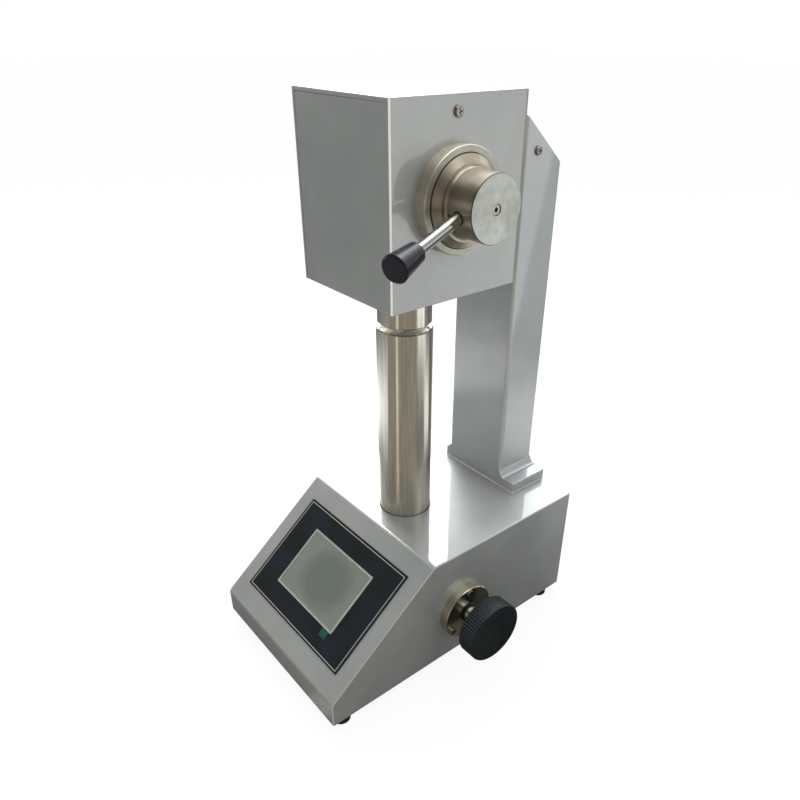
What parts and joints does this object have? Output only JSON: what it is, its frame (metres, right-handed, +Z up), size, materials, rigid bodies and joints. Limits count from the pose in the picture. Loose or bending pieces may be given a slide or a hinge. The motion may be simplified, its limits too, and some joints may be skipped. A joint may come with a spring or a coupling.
{
  "type": "rubber hardness tester",
  "caption": "Bench rubber hardness tester: sloped base with touch screen, rack-lifted stage post, rear column and a head with load lever, drum and indenter.",
  "frame": {"origin": "centre of the bottom plate's underside, between the rubber feet's top faces", "axes": "+Z up along the stage post, -Y to the user at the sloped front, +X to the side of the hand knob and load lever"},
  "size_m": [0.272, 0.3508, 0.5767],
  "materials": {
    "silver_paint": "gloss",
    "zinc_sheet": "satin",
    "turned_steel": "turned",
    "ground_steel": "ground",
    "bright_chrome": "polished",
    "screw_steel": "plain",
    "black_screw": "satin",
    "black_plastic": "matte",
    "black_gloss": "gloss",
    "overlay_black": "satin",
    "bezel_plastic": "satin",
    "screen_glass": "dark",
    "film_green": "film",
    "foot_rubber": "moulded",
    "bush_bronze": "machined",
    "frame_aluminium": "milled",
    "weight_iron": "machined",
    "board_green": "lacquered"
  },
  "bodies": {
    "instrument": {"base_casing": "silver_paint", "bottom_plate": "zinc_sheet", "rubber_feet": "foot_rubber", "casing_screws": "screw_steel", "control_overlay": "overlay_black", "touch_screen_housing": "bezel_plastic", "screen_glass": "screen_glass", "film_pull_tab": "film_green", "controller_board": "board_green", "power_supply": "zinc_sheet", "post_guide_bush": "bush_bronze", "machine_screws": "screw_steel", "shaft_flange": "turned_steel", "flange_screws": "screw_steel", "shaft_bushes": "bush_bronze", "bearing_block": "frame_aluminium", "column_foot": "silver_paint", "column_backing_plate": "frame_aluminium", "column_shell": "silver_paint", "column_welds": "silver_paint", "head_arm": "frame_aluminium", "side_screws": "black_screw", "head_cover": "silver_paint", "head_front_panel": "silver_paint", "head_back_panel": "silver_paint", "head_bottom_plate": "zinc_sheet", "head_frame": "frame_aluminium", "cam_bushes": "bush_bronze", "drum_ring": "turned_steel", "presser_collar": "turned_steel", "presser_foot": "ground_steel", "spindle_bush": "bush_bronze", "displacement_sensor": "frame_aluminium", "sensor_bracket": "frame_aluminium", "rear_panel": "zinc_sheet", "power_inlet": "black_plastic", "switch_housing": "black_plastic"},
    "stage": {"stage_post": "turned_steel", "stage_plate": "ground_steel", "lift_rack": "ground_steel", "rack_screws": "screw_steel"},
    "lift_knob": {"lift_shaft": "ground_steel", "lift_pinion": "ground_steel", "dust_ring": "black_plastic", "knob_hub": "bright_chrome", "hand_knob": "black_plastic"},
    "load_lever": {"load_drum": "turned_steel", "drum_screws": "screw_steel", "cam_shaft": "ground_steel", "spiral_cam": "ground_steel", "lever_rod": "bright_chrome", "lever_grip": "black_gloss"},
    "indenter": {"indenter_tip": "ground_steel", "indenter_spindle": "ground_steel", "load_weight": "weight_iron", "lift_yoke": "frame_aluminium", "follower_pin": "ground_steel", "sensor_core": "ground_steel"},
    "rocker": {"power_rocker": "black_plastic"}
  },
  "joints": [
    {"name": "stage_lift", "type": "slide", "parent": "instrument", "child": "stage", "axis": [0, 0, 1], "range_m": [-0.04, 0]},
    {"name": "knob_turn", "type": "hinge", "parent": "instrument", "child": "lift_knob", "pos_m": [0, 0.0025, 0.059], "axis": [1, 0, 0], "range_deg": [-229.2, 0]},
    {"name": "lever_swing", "type": "hinge", "parent": "instrument", "child": "load_lever", "pos_m": [0, 0.01, 0.4859], "axis": [1, 0, 0], "range_deg": [0, 60]},
    {"name": "indenter_drop", "type": "slide", "parent": "instrument", "child": "indenter", "axis": [0, 0, 1], "range_m": [-0.004, 0]},
    {"name": "rocker_tilt", "type": "hinge", "parent": "instrument", "child": "rocker", "pos_m": [0.002, 0.1734, 0.04], "axis": [0, 0, 1], "range_deg": [-18, 0]}
  ],
  "couplings": [
    {"joint": "knob_turn", "follows": "stage_lift", "rad_per_m": 100},
    {"joint": "indenter_drop", "follows": "lever_swing", "m_per_rad": -0.0038197}
  ]
}
